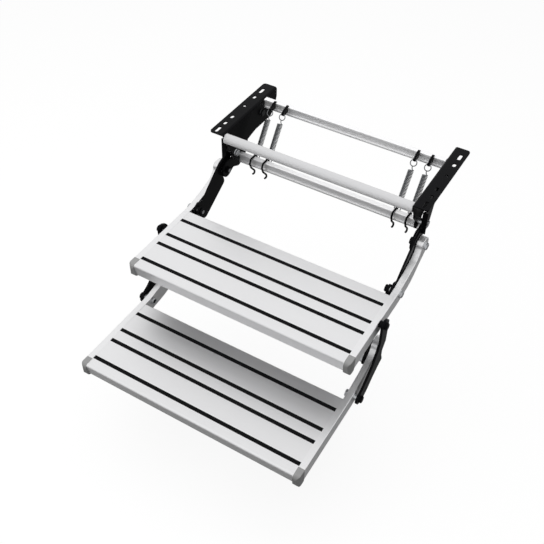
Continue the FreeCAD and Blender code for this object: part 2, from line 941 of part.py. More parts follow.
def loop_seat():
    """How far the middle of a spring's lower loop stays above the hook wire that it pulls on."""
    wire = FreeCAD.Vector(HOOK_PATH[1][0] - HOOK_PATH[0][0], HOOK_PATH[1][1] - HOOK_PATH[0][1], 0)
    pull = FreeCAD.Vector(HOOK_TOP[0] - HOOK_LOW[0], HOOK_TOP[1] - HOOK_LOW[1], 0)
    crossing = math.sin(wire.getAngle(pull))
    return size("loop_r") - size("wire_d") / 2 - size("hook_wire_d") / 2 / crossing - size("pin_play")


def add_spring(name, x):
    """A close-wound coil, drawn as its envelope, with a round loop at each end."""
    top = at(HOOK_TOP, x)
    way = at(HOOK_LOW, x) - top
    reach = way.Length
    way.normalize()
    wire_r = size("wire_d") / 2
    outer = size("coil_d") / 2
    loop = size("loop_r")
    start = size("coil_start")
    end = start + size("coil_length")
    low_ring = reach - loop_seat()
    coil = Part.makeCylinder(outer, size("coil_length"), top + way * start, way)
    bore = Part.makeCylinder(outer - 2 * wire_r, size("coil_length"), top + way * start, way)
    flat = way.cross(FreeCAD.Vector(1, 0, 0))
    spring = coil.cut(bore)
    for centre, tail, coil_end in ((loop, 2 * loop, start), (low_ring, low_ring - loop, end)):
        ring = Part.makeTorus(loop, wire_r, top + way * centre, flat)
        first = top + way * tail
        last = top + way * coil_end
        shank = Part.makeCylinder(wire_r, (last - first).Length + wire_r, first, last - first)
        bridge_start = last - FreeCAD.Vector(outer - wire_r, 0, 0)
        bridge = Part.makeCylinder(wire_r, 2 * (outer - wire_r), bridge_start, FreeCAD.Vector(1, 0, 0))
        spring = spring.fuse([ring, shank, bridge])
    keep(bare(spring.removeSplitter(), "Spring"), "spring_" + name)


def add_anchors():
    """The black straps on the rear rail's top and front that hold the springs' upper loops."""
    front = RAIL[0] - size("rail_depth") / 2
    lip = front + size("strap_lip")
    top = RAIL[1] + size("rail_height") / 2
    strap = size("strap_thick")
    lug = size("eye_d") / 2 + strap
    width = size("anchor_width")
    corners = [
        (lip, top + strap, 1),
        (front - strap, top + strap, 2),
        (HOOK_TOP[0] - lug, HOOK_TOP[1] + lug, lug - 0.1),
        (HOOK_TOP[0] - lug, HOOK_TOP[1] - lug, lug - 0.1),
        (front, HOOK_TOP[1] - lug),
        (front, top),
        (lip, top),
    ]
    straps = []
    for name, x in SPRINGS:
        edges = [edge.toShape() for edge, flipped in rounded(corners)]
        face = Part.Face(Part.Wire(edges))
        face.Placement = FreeCAD.Placement(FreeCAD.Vector(x - width / 2, 0, 0), SIDE_VIEW)
        solid = face.extrude(FreeCAD.Vector(width, 0, 0))
        eye_start = at(HOOK_TOP, x - width / 2)
        hole = Part.makeCylinder(size("eye_d") / 2, width, eye_start, FreeCAD.Vector(1, 0, 0))
        straps.append(bare(solid.cut(hole), "Strap"))
    group("spring_straps", straps)


def add_bar_hooks():
    """Round-wire hooks over the spring bar, through the springs' lower loops."""
    hooks = []
    for name, x in SPRINGS:
        wire = side_wire(HOOK_PATH, x)
        start = at(HOOK_PATH[0], x)
        heading = at(HOOK_PATH[1], x) - start
        circle = Part.Wire(Part.makeCircle(size("hook_wire_d") / 2, start, heading))
        hooks.append(bare(wire.makePipeShell([circle], True, True), "Hook"))
    group("bar_hooks", hooks)


# The whole step

for side_name, side_sign in SIDES:
    add_bracket(side_name, side_sign)
    add_leg(side_name, side_sign)
    add_link(side_name, side_sign)
    add_outer_drop_link(side_name, side_sign)
    add_inner_drop_link(side_name, side_sign)
    add_lug(side_name, side_sign)

add_front_tube()
add_rail("rear_rail", RAIL, "Sizes.plate_x")
add_rail("spring_bar", BAR, "Sizes.link_x")
add_rail_screws("rear_rail_screws", RAIL, PLATE_FACE)
add_rail_screws("spring_bar_screws", BAR, LINK_FACE)
add_anchors()
add_bar_hooks()
for spring_name, spring_x in SPRINGS:
    add_spring(spring_name, spring_x)

add_step("upper", LEG_FOOT, ((0, 0), ARM_REAR, ARM_FRONT))
add_step("lower", OUTER_FOOT, ((0, 0),))

add_bolts("leg_pivot_bolts", LEG_TOP, "Sizes.plate_x", LEG_FACE + " + Sizes.nut_thick", False)
add_rings("leg_pivot_sleeves", LEG_TOP, PLATE_FACE, "Sizes.leg_x - " + PLATE_FACE, SLEEVE)
add_rings("leg_pivot_nuts", LEG_TOP, LEG_FACE, NUT, HEX, "Prism")

add_bolts("link_pivot_bolts", LINK_TOP, "Sizes.plate_x", LINK_FACE + " + Sizes.nut_thick", False)
add_rings("link_pivot_washers", LINK_TOP, PLATE_FACE, "Sizes.link_x - " + PLATE_FACE, SLEEVE)
add_rings("link_pivot_nuts", LINK_TOP, LINK_FACE, NUT, HEX, "Prism")

add_bolts("arm_link_bolts", LINK_FOOT, ARM_FACE, INSIDE_NUT, True)
add_rings("arm_link_sleeves", LINK_FOOT, LINK_FACE, ARM_LAYER + " - " + LINK_FACE, SLEEVE)
add_rings("arm_link_nuts", LINK_FOOT, INSIDE_NUT, NUT, HEX, "Prism")

add_bolts("arm_leg_bolts", LEG_FOOT, ARM_FACE, INSIDE_NUT, True)
add_rings("arm_leg_washers", LEG_FOOT, LEG_FACE, ARM_LAYER + " - " + LEG_FACE, SLEEVE)
add_rings("arm_leg_spacers", LEG_FOOT, LINK_FACE, "Sizes.leg_x - " + LINK_FACE, SLEEVE)
add_rings("arm_leg_nuts", LEG_FOOT, INSIDE_NUT, NUT, HEX, "Prism")

add_bolts("upper_drop_bolts", OUTER_TOP, OUTER_FACE, ARM_LAYER + " + Sizes.blind_wall", True)
add_rings("upper_drop_spacers", OUTER_TOP, ARM_FACE, "Sizes.outer_gap", SLEEVE)

add_bolts("lower_drop_bolts", OUTER_FOOT, OUTER_FACE, ARM_LAYER + " - Sizes.nut_thick", True)
add_rings("lower_drop_spacers", OUTER_FOOT, ARM_FACE, "Sizes.outer_gap", SLEEVE)
add_rings("lower_drop_nuts", OUTER_FOOT, ARM_LAYER + " - Sizes.nut_thick", NUT, HEX, "Prism")

add_bolts("lug_bolts", INNER_FOOT, ARM_LAYER, INSIDE_NUT, True)
add_rings("lug_spacers", INNER_FOOT, LINK_FACE, LUG_LAYER + " - " + LINK_FACE, SLEEVE)
add_rings("lug_nuts", INNER_FOOT, INSIDE_NUT, NUT, HEX, "Prism")

doc.recompute()

# Check, then write each piece

for thing in doc.Objects:
    if "Invalid" in thing.State or "Error" in thing.State:
        raise RuntimeError("%s (%s) failed: %s" % (thing.Label, thing.Name, thing.State))
os.makedirs("parts", exist_ok=True)
for thing in parts:
    if thing.Shape.isNull() or not thing.Shape.isValid():
        raise RuntimeError(thing.Label + " has no valid shape")
    thing.Shape.exportStep("parts/%s.step" % thing.Label)
    print("%-28s %2d solids %10.0f mm3" % (thing.Label, len(thing.Shape.Solids), thing.Shape.Volume))
print(len(parts), "pieces")
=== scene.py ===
import json
import math

import bpy
from mathutils import Matrix, Vector


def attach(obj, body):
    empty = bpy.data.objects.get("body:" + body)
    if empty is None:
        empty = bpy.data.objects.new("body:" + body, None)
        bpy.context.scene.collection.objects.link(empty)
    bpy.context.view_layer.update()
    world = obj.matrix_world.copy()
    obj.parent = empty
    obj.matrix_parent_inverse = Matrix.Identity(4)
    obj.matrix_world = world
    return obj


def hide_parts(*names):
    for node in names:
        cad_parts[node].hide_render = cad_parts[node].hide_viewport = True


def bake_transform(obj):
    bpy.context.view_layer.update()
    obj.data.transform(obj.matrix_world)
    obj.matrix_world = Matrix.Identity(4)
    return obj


# Looks of a double folding entry step for a caravan.
# Metres, in the frame of the solids: X across the step, +Y towards the vehicle, +Z up.

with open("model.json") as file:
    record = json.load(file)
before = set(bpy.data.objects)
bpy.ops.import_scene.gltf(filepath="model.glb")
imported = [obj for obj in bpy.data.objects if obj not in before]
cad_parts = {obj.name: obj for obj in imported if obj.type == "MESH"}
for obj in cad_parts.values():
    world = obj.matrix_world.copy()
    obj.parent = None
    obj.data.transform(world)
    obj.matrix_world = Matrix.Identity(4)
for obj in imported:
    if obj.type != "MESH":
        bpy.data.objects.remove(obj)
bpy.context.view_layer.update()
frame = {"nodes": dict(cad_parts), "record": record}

MM = 0.001


def moved(place, step):
    """A place in the side view after a step, both as (Y, Z)."""
    return (place[0] + step[0], place[1] + step[1])


# Each side is two parallelograms, the legs' and the drop links', and these are their sides
LEG = (-154.0 * MM, -90.2 * MM)
LEG_TO_LINK = (124.3 * MM, 50.6 * MM)
DROP_LINK = (-94.3 * MM, -155.7 * MM)
INNER_TO_OUTER = (-110.0 * MM, 3.3 * MM)

# Pivots in the side view
LEG_TOP = (-82.0 * MM, -85.8 * MM)
LEG_FOOT = moved(LEG_TOP, LEG)
LINK_TOP = moved(LEG_TOP, LEG_TO_LINK)
LINK_FOOT = moved(LEG_FOOT, LEG_TO_LINK)
OUTER_TOP = moved(LEG_FOOT, INNER_TO_OUTER)
OUTER_FOOT = moved(OUTER_TOP, DROP_LINK)
INNER_FOOT = moved(LEG_FOOT, DROP_LINK)

# Faces across the step
PLATE_X = 251.0 * MM
LINK_X = 259.0 * MM
LINK_FACE = 264.0 * MM
LEG_FACE = 273.0 * MM
ARM_X = 275.0 * MM
ARM_FACE = 290.0 * MM
OUTER_FACE = 304.0 * MM

# Fasteners. A blank is a round that reaches just past the corners of its hexagon
PIN_R = 5.0 * MM
HEX_ACROSS = 16.0 * MM
HEAD_THICK = 5.3 * MM
HEAD_BLANK_R = 9.3 * MM
CROWN_R = 7.4 * MM
# The crown is cut at 30 degrees to the head's face, so it widens by this for each unit down
CROWN_SPREAD = math.tan(math.radians(60))
FLANGE_R = 9.5 * MM
FLANGE_THICK = 1.5 * MM
FLANGE_TOP_SHARE = 0.93
NUT_THICK = 6.5 * MM
NUT_BLANK_R = 9.24 * MM
NUT_BORE_R = 5.1 * MM
NUT_CHAMFER = 1.0 * MM
BLIND_WALL = 2.0 * MM

# Springs
HOOK_TOP = (35.8 * MM, -13.2 * MM)
HOOK_LOW = (-34.7 * MM, -116.6 * MM)
SPRINGS_X = (-219.0 * MM, -182.5 * MM, 182.5 * MM, 219.0 * MM)
COIL_R = 7.5 * MM
WIRE_R = 1.25 * MM
COIL_START = 26.0 * MM
COIL_LENGTH = 78.0 * MM
LOOP_R = 8.0 * MM
LOOP_SEAT = 2.9 * MM
COIL_PITCH = 3.4 * MM
# How many wire radii short of the coil a neck leaves the axis
NECK_BEND = 1.5

# Treads and grip strips
TREAD_LENGTH = 550.0 * MM
# How far a tread's top is above its main pivot, and how far its rear edge is ahead of it
TREAD_RISE = 11.0 * MM
TREAD_GAP = 26.3 * MM
# How far the middle of each grip strip is ahead of the tread's rear edge
STRIPS = (36.3 * MM, 97.2 * MM, 133.8 * MM, 195.6 * MM)
STRIP_WIDTH = 10.0 * MM
STRIP_THICK = 2.5 * MM
STRIP_PROUD = 0.5 * MM
STRIP_RIBS = 5
RIB_R = 0.7 * MM

# How finely the round shapes are drawn
HEX_STEPS = 48
HEAD_LAYERS = 6
SHANK_STEPS = 32
WIRE_STEPS = 8
TURN_STEPS = 20
LOOP_STEPS = 32
NECK_STEPS = 12
RIB_STEPS = 12

# Edges that turn by more degrees than this are drawn sharp
SHARP_TURN = 35.0
WIRE_SHARP_TURN = 60.0


# Helpers


def add_node(tree, kind, settings=None, inputs=None):
    """Add a node with its settings, and set or link its inputs."""
    node = tree.nodes.new(kind)
    for name, value in (settings or {}).items():
        setattr(node, name, value)
    for key, value in (inputs or {}).items():
        if isinstance(value, bpy.types.NodeSocket):
            tree.links.new(value, node.inputs[key])
        else:
            node.inputs[key].default_value = value
    return node


def linear(hex_colour):
    """An sRGB hex colour as the linear values that a shader takes."""
    values = []
    for start in (1, 3, 5):
        part = int(hex_colour[start:start + 2], 16) / 255
        values.append(part / 12.92 if part <= 0.04045 else ((part + 0.055) / 1.055) ** 2.4)
    return (*values, 1.0)


def new_material(name):
    """An empty node material, with its tree and its output."""
    material = bpy.data.materials.new(name)
    material.use_nodes = True
    material.node_tree.nodes.clear()
    output = add_node(material.node_tree, "ShaderNodeOutputMaterial")
    return material, material.node_tree, output


def surface(tree, output, shader):
    """Link a shader to the material's surface."""
    tree.links.new(shader, output.inputs["Surface"])


# Materials


def powder_coat():
    """Black powder coat on folded steel: satin, with the faint orange peel of baked powder."""
    material, tree, output = new_material("black powder coat")
    place = add_node(tree, "ShaderNodeTexCoord")
    # Orange peel is about 1.5 mm from crest to crest
    peel = add_node(tree, "ShaderNodeTexNoise", None, {
        "Vector": place.outputs["Object"], "Scale": 1 / (1.5 * MM), "Detail": 2.0, "Roughness": 0.4})
    bump = add_node(tree, "ShaderNodeBump", None, {
        "Height": peel.outputs["Fac"], "Strength": 0.25, "Distance": 0.05 * MM})
    # Handling leaves the satin a little uneven over 40 mm
    wear = add_node(tree, "ShaderNodeTexNoise", None, {
        "Vector": place.outputs["Object"], "Scale": 1 / (40 * MM), "Detail": 3.0})
    gloss = add_node(tree, "ShaderNodeMapRange", None, {
        "Value": wear.outputs["Fac"], "To Min": 0.26, "To Max": 0.36})
    shader = add_node(tree, "ShaderNodeBsdfPrincipled", None, {
        "Base Color": linear("#08080a"), "IOR": 1.5, "Specular IOR Level": 0.05,
        "Roughness": gloss.outputs["Result"], "Normal": bump.outputs["Normal"]})
    surface(tree, output, shader.outputs["BSDF"])
    return material


def anodised(name, stretch, dark, light, smoothest, metallic=1.0):
    """Anodised aluminium: a satin metal, with the long fine die lines of an extrusion."""
    material, tree, output = new_material(name)
    place = add_node(tree, "ShaderNodeTexCoord")
    # Die lines are finer than 1 mm; they are drawn 1.6 mm apart so that they show
    lines_at = add_node(tree, "ShaderNodeMapping", None, {
        "Vector": place.outputs["Object"], "Scale": stretch})
    lines = add_node(tree, "ShaderNodeTexNoise", None, {
        "Vector": lines_at.outputs["Vector"], "Scale": 1 / (1.6 * MM), "Detail": 3.0, "Roughness": 0.6})
    grain = add_node(tree, "ShaderNodeTexNoise", None, {
        "Vector": place.outputs["Object"], "Scale": 1 / (0.8 * MM), "Detail": 1.0})
    height = add_node(tree, "ShaderNodeMath", {"operation": "MULTIPLY_ADD"}, {
        0: grain.outputs["Fac"], 1: 0.35, 2: lines.outputs["Fac"]})
    bump = add_node(tree, "ShaderNodeBump", None, {
        "Height": height.outputs["Value"], "Strength": 0.06, "Distance": 0.03 * MM})
    gloss = add_node(tree, "ShaderNodeMapRange", None, {
        "Value": lines.outputs["Fac"], "From Min": 0.3, "From Max": 0.7,
        "To Min": smoothest, "To Max": smoothest + 0.08})
    tint = add_node(tree, "ShaderNodeMix", {"data_type": "RGBA"}, {
        0: lines.outputs["Fac"], 6: linear(dark), 7: linear(light)})
    shader = add_node(tree, "ShaderNodeBsdfPrincipled", None, {
        "Base Color": tint.outputs[2], "Metallic": metallic,
        "Roughness": gloss.outputs["Result"], "Normal": bump.outputs["Normal"]})
    surface(tree, output, shader.outputs["BSDF"])
    return material


def moulded_plastic():
    """Mid-grey moulded polypropylene: a dull shine over a fine spark-eroded grain."""
    material, tree, output = new_material("grey moulded polypropylene")
    place = add_node(tree, "ShaderNodeTexCoord")
    # The grain of the mould is about 0.9 mm
    grain = add_node(tree, "ShaderNodeTexNoise", None, {
        "Vector": place.outputs["Object"], "Scale": 1 / (0.9 * MM), "Detail": 2.0})
    bump = add_node(tree, "ShaderNodeBump", None, {
        "Height": grain.outputs["Fac"], "Strength": 0.2, "Distance": 0.05 * MM})
    shader = add_node(tree, "ShaderNodeBsdfPrincipled", None, {
        "Base Color": linear("#868686"), "IOR": 1.49, "Roughness": 0.45,
        "Normal": bump.outputs["Normal"]})
    surface(tree, output, shader.outputs["BSDF"])
    return material


def strip_rubber():
    """Black extruded rubber: nearly matt, with a dusty bloom in patches."""
    material, tree, output = new_material("black extruded rubber")
    place = add_node(tree, "ShaderNodeTexCoord")
    # Bloom comes in patches some 15 mm wide
    bloom = add_node(tree, "ShaderNodeTexNoise", None, {
        "Vector": place.outputs["Object"], "Scale": 1 / (15 * MM), "Detail": 4.0})
    tint = add_node(tree, "ShaderNodeMix", {"data_type": "RGBA"}, {
        0: bloom.outputs["Fac"], 6: linear("#08080a"), 7: linear("#0e0f10")})
    shader = add_node(tree, "ShaderNodeBsdfPrincipled", None, {
        "Base Color": tint.outputs[2], "IOR": 1.52, "Specular IOR Level": 0.1, "Roughness": 0.7})
    surface(tree, output, shader.outputs["BSDF"])
    return material


def zinc_plate(name, dark, light):
    """Zinc plate on rolled steel bolts: shiny, slightly cloudy, bright or dark passivated."""
    material, tree, output = new_material(name)
    place = add_node(tree, "ShaderNodeTexCoord")
    # Clouds in the plating are about 3 mm across
    cloud = add_node(tree, "ShaderNodeTexNoise", None, {
        "Vector": place.outputs["Object"], "Scale": 1 / (3 * MM), "Detail": 3.0})
    gloss = add_node(tree, "ShaderNodeMapRange", None, {
        "Value": cloud.outputs["Fac"], "To Min": 0.24, "To Max": 0.42})
    tint = add_node(tree, "ShaderNodeMix", {"data_type": "RGBA"}, {
        0: cloud.outputs["Fac"], 6: linear(dark), 7: linear(light)})
    shader = add_node(tree, "ShaderNodeBsdfPrincipled", None, {
        "Base Color": tint.outputs[2], "Metallic": 1.0, "Roughness": gloss.outputs["Result"]})
    surface(tree, output, shader.outputs["BSDF"])
    return material


def spring_wire():
    """Drawn spring wire under a film of oil: dark steel with a soft shine."""
    material, tree, output = new_material("oiled spring steel")
    place = add_node(tree, "ShaderNodeTexCoord")
    # Oil gathers in spots about 2 mm across
    film = add_node(tree, "ShaderNodeTexNoise", None, {
        "Vector": place.outputs["Object"], "Scale": 1 / (2 * MM), "Detail": 2.0})
    gloss = add_node(tree, "ShaderNodeMapRange", None, {
        "Value": film.outputs["Fac"], "To Min": 0.28, "To Max": 0.4})
    shader = add_node(tree, "ShaderNodeBsdfPrincipled", None, {
        "Base Color": linear("#7e8082"), "Metallic": 1.0, "Roughness": gloss.outputs["Result"]})
    surface(tree, output, shader.outputs["BSDF"])
    return material


# Die lines are drawn out along X on pieces that run across the step, and along Y on the arms
ALONG_X = (0.01, 1.0, 1.0)
ALONG_Y = (1.0, 0.02, 1.0)

STEEL_BLACK = powder_coat()
TREAD_METAL = anodised("anodised aluminium extrusion", ALONG_X, "#e6e6e7", "#ebebec", 0.42)
ARM_METAL = anodised("anodised aluminium arm", ALONG_Y, "#e9e9ea", "#eeeeef", 0.4)
RAIL_METAL = anodised("anodised aluminium rail", ALONG_X, "#efeff0", "#f4f4f5", 0.4, 0.6)
TUBE_METAL = anodised("matt anodised aluminium tube", ALONG_X, "#e2e2e3", "#e7e7e8", 0.7)
CAP_PLASTIC = moulded_plastic()
RUBBER = strip_rubber()
ZINC = zinc_plate("zinc plated steel", "#a9abae", "#c4c6c8")
DARK_ZINC = zinc_plate("dark passivated zinc plate", "#2e2f31", "#3a3b3d")
SPRING_STEEL = spring_wire()

SLOT_FINISH = {
    "black_steel": STEEL_BLACK,
    "silver_aluminium": TREAD_METAL,
    "grey_plastic": CAP_PLASTIC,
    "black_rubber": RUBBER,
    "zinc_steel": ZINC,
    "spring_steel": SPRING_STEEL,
}

for subpart in frame["record"]["subparts"]:
    cad_node = frame["nodes"][subpart["node"]]
    finish = SLOT_FINISH[subpart["material_slot"]]
    if "_arm_" in subpart["node"]:
        finish = ARM_METAL
    elif subpart["node"] in ("rear_rail", "spring_bar"):
        finish = RAIL_METAL
    elif subpart["node"] == "front_tube":
        finish = TUBE_METAL
    cad_node.data.materials.clear()
    cad_node.data.materials.append(finish)


# Geometry Nodes


def new_geometry(name, sizes):
    """An empty node tree that turns points into a piece, with named sizes as its inputs."""
    tree = bpy.data.node_groups.new(name, "GeometryNodeTree")
    tree.interface.new_socket("Geometry", in_out="INPUT", socket_type="NodeSocketGeometry")
    for label, value in sizes.items():
        kind = "NodeSocketInt" if isinstance(value, int) else "NodeSocketFloat"
        socket = tree.interface.new_socket(label, in_out="INPUT", socket_type=kind)
        socket.default_value = value
    tree.interface.new_socket("Geometry", in_out="OUTPUT", socket_type="NodeSocketGeometry")
    given = add_node(tree, "NodeGroupInput")
    return tree, given.outputs


def close_geometry(tree, instances, material):
    """End a tree: real geometry, one material, out."""
    real = add_node(tree, "GeometryNodeRealizeInstances", None, {"Geometry": instances})
    coloured = add_node(tree, "GeometryNodeSetMaterial", None, {
        "Geometry": real.outputs["Geometry"], "Material": material})
    add_node(tree, "NodeGroupOutput", None, {"Geometry": coloured.outputs["Geometry"]})


def grow(name, tree, points, **attributes):
    """Run a tree on points that carry attributes, and return the plain mesh that it makes."""
    seed = bpy.data.meshes.new(name + "_points")
    seed.from_pydata(points, [], [])
    for label, values in attributes.items():
        kind = "FLOAT" if isinstance(values[0], float) else "FLOAT_VECTOR"
        attribute = seed.attributes.new(label, kind, "POINT")
        for item, value in zip(attribute.data, values):
            if kind == "FLOAT":
                item.value = value
            else:
                item.vector = value
    base = bpy.data.objects.new(name + "_base", seed)
    bpy.context.scene.collection.objects.link(base)
    modifier = base.modifiers.new("Grow", "NODES")
    modifier.node_group = tree
    graph = bpy.context.evaluated_depsgraph_get()
    mesh = bpy.data.meshes.new_from_object(base.evaluated_get(graph), depsgraph=graph)
    base.modifiers.remove(modifier)
    bpy.data.objects.remove(base)
    mesh.name = name
    piece = bpy.data.objects.new(name, mesh)
    bpy.context.scene.collection.objects.link(piece)
    return piece


def smooth(piece, angle=SHARP_TURN):
    """Shade a piece smooth, but keep the edges that turn sharply."""
    piece.data.shade_smooth()
    piece.data.set_sharp_from_angle(angle=math.radians(angle))


def hexagon_limit(tree, across):
    """Each point's coordinates, how far from Z a hexagon lets it be, and how far it is."""
    position = add_node(tree, "GeometryNodeInputPosition")
    parts = add_node(tree, "ShaderNodeSeparateXYZ", None, {"Vector": position.outputs["Position"]})
    angle = add_node(tree, "ShaderNodeMath", {"operation": "ARCTAN2"}, {
        0: parts.outputs["Y"], 1: parts.outputs["X"]})
    # Each of the six flats takes the points within 30 degrees of its middle
    wrapped = add_node(tree, "ShaderNodeMath", {"operation": "WRAP"}, {
        0: angle.outputs["Value"], 1: math.pi / 6, 2: -math.pi / 6})
    cosine = add_node(tree, "ShaderNodeMath", {"operation": "COSINE"}, {0: wrapped.outputs["Value"]})
    half = add_node(tree, "ShaderNodeMath", {"operation": "MULTIPLY"}, {0: across, 1: 0.5})
    limit = add_node(tree, "ShaderNodeMath", {"operation": "DIVIDE"}, {
        0: half.outputs["Value"], 1: cosine.outputs["Value"]})
    flat = add_node(tree, "ShaderNodeCombineXYZ", None, {
        "X": parts.outputs["X"], "Y": parts.outputs["Y"]})
    radius = add_node(tree, "ShaderNodeVectorMath", {"operation": "LENGTH"}, {0: flat.outputs["Vector"]})
    return parts, limit.outputs["Value"], radius.outputs["Value"]


def pull_in(tree, geometry, parts, radius, allowed):
    """Move points straight in towards Z until they are within the allowed distance."""
    share = add_node(tree, "ShaderNodeMath", {"operation": "DIVIDE"}, {0: allowed, 1: radius})
    kept = add_node(tree, "ShaderNodeMath", {"operation": "MINIMUM"}, {0: share.outputs["Value"], 1: 1.0})
    along_x = add_node(tree, "ShaderNodeMath", {"operation": "MULTIPLY"}, {
        0: parts.outputs["X"], 1: kept.outputs["Value"]})
    along_y = add_node(tree, "ShaderNodeMath", {"operation": "MULTIPLY"}, {
        0: parts.outputs["Y"], 1: kept.outputs["Value"]})
    place = add_node(tree, "ShaderNodeCombineXYZ", None, {
        "X": along_x.outputs["Value"], "Y": along_y.outputs["Value"], "Z": parts.outputs["Z"]})
    return add_node(tree, "GeometryNodeSetPosition", None, {
        "Geometry": geometry, "Position": place.outputs["Vector"]}).outputs["Geometry"]


def bolt_tree(material):
    """Flanged hexagon bolts, one on each point, headed along the point's outward direction."""
    tree, given = new_geometry("flanged bolts", {
        "Across flats": HEX_ACROSS, "Head thickness": HEAD_THICK, "Flange radius": FLANGE_R,
        "Flange thickness": FLANGE_THICK, "Shank radius": PIN_R, "Crown radius": CROWN_R})
    blank = add_node(tree, "GeometryNodeMeshCylinder", None, {
        "Vertices": HEX_STEPS, "Side Segments": HEAD_LAYERS, "Radius": HEAD_BLANK_R,
        "Depth": given["Head thickness"]})
    parts, flats, radius = hexagon_limit(tree, given["Across flats"])
    half = add_node(tree, "ShaderNodeMath", {"operation": "MULTIPLY"}, {
        0: given["Head thickness"], 1: 0.5})
    below = add_node(tree, "ShaderNodeMath", {"operation": "SUBTRACT"}, {
        0: half.outputs["Value"], 1: parts.outputs["Z"]})
    cone = add_node(tree, "ShaderNodeMath", {"operation": "MULTIPLY_ADD"}, {
        0: below.outputs["Value"], 1: CROWN_SPREAD, 2: given["Crown radius"]})
    allowed = add_node(tree, "ShaderNodeMath", {"operation": "MINIMUM"}, {
        0: flats, 1: cone.outputs["Value"]})
    hexagon = pull_in(tree, blank.outputs["Mesh"], parts, radius, allowed.outputs["Value"])
    lift = add_node(tree, "ShaderNodeMath", {"operation": "ADD"}, {
        0: half.outputs["Value"], 1: given["Flange thickness"]})
    lift_by = add_node(tree, "ShaderNodeCombineXYZ", None, {"Z": lift.outputs["Value"]})
    head = add_node(tree, "GeometryNodeTransform", None, {
        "Geometry": hexagon, "Translation": lift_by.outputs["Vector"]})
    top_radius = add_node(tree, "ShaderNodeMath", {"operation": "MULTIPLY"}, {
        0: given["Flange radius"], 1: FLANGE_TOP_SHARE})
    flange = add_node(tree, "GeometryNodeMeshCone", None, {
        "Vertices": HEX_STEPS, "Radius Top": top_radius.outputs["Value"],
        "Radius Bottom": given["Flange radius"], "Depth": given["Flange thickness"]})
    # The shank is one unit long, and each point's reach stretches it
    shank = add_node(tree, "GeometryNodeMeshCylinder", None, {
        "Vertices": SHANK_STEPS, "Radius": given["Shank radius"], "Depth": 1.0})
    hang = add_node(tree, "GeometryNodeTransform", None, {
        "Geometry": shank.outputs["Mesh"], "Translation": (0.0, 0.0, -0.5)})
    outward = add_node(tree, "GeometryNodeInputNamedAttribute", {"data_type": "FLOAT_VECTOR"}, {
        "Name": "outward"})
    reach = add_node(tree, "GeometryNodeInputNamedAttribute", {"data_type": "FLOAT"}, {"Name": "reach"})
    turn = add_node(tree, "FunctionNodeAlignRotationToVector", {"axis": "Z"}, {
        "Vector": outward.outputs["Attribute"]})
    stretch = add_node(tree, "ShaderNodeCombineXYZ", None, {
        "X": 1.0, "Y": 1.0, "Z": reach.outputs["Attribute"]})
    cap = add_node(tree, "GeometryNodeJoinGeometry")
    tree.links.new(head.outputs["Geometry"], cap.inputs["Geometry"])
    tree.links.new(flange.outputs["Mesh"], cap.inputs["Geometry"])
    caps = add_node(tree, "GeometryNodeInstanceOnPoints", None, {
        "Points": given["Geometry"], "Instance": cap.outputs["Geometry"],
        "Rotation": turn.outputs["Rotation"]})
    shanks = add_node(tree, "GeometryNodeInstanceOnPoints", None, {
        "Points": given["Geometry"], "Instance": hang.outputs["Geometry"],
        "Rotation": turn.outputs["Rotation"], "Scale": stretch.outputs["Vector"]})
    both = add_node(tree, "GeometryNodeJoinGeometry")
    tree.links.new(caps.outputs["Instances"], both.inputs["Geometry"])
    tree.links.new(shanks.outputs["Instances"], both.inputs["Geometry"])
    close_geometry(tree, both.outputs["Geometry"], material)
    return tree


def nut_tree(material):
    """Chamfered hexagon nuts, one on each point, on axes along X."""
    tree, given = new_geometry("hexagon nuts", {
        "Across flats": HEX_ACROSS, "Thickness": NUT_THICK, "Bore radius": NUT_BORE_R,
        "Blank radius": NUT_BLANK_R, "Chamfer": NUT_CHAMFER})
    wall = add_node(tree, "ShaderNodeMath", {"operation": "SUBTRACT"}, {
        0: given["Blank radius"], 1: given["Bore radius"]})
    total = add_node(tree, "ShaderNodeMath", {"operation": "ADD"}, {
        0: given["Blank radius"], 1: given["Bore radius"]})
    middle = add_node(tree, "ShaderNodeMath", {"operation": "MULTIPLY"}, {
        0: total.outputs["Value"], 1: 0.5})
    path = add_node(tree, "GeometryNodeCurvePrimitiveCircle", None, {
        "Resolution": HEX_STEPS, "Radius": middle.outputs["Value"]})
    section = add_node(tree, "GeometryNodeCurvePrimitiveQuadrilateral", None, {
        "Width": wall.outputs["Value"], "Height": given["Thickness"]})
    chamfered = add_node(tree, "GeometryNodeFilletCurve", None, {
        "Curve": section.outputs["Curve"], "Radius": given["Chamfer"]})
    ring = add_node(tree, "GeometryNodeCurveToMesh", None, {
        "Curve": path.outputs["Curve"], "Profile Curve": chamfered.outputs["Curve"]})
    parts, flats, radius = hexagon_limit(tree, given["Across flats"])
    hexagon = pull_in(tree, ring.outputs["Mesh"], parts, radius, flats)
    instances = add_node(tree, "GeometryNodeInstanceOnPoints", None, {
        "Points": given["Geometry"], "Instance": hexagon, "Rotation": (0.0, math.pi / 2, 0.0)})
    close_geometry(tree, instances.outputs["Instances"], material)
    return tree


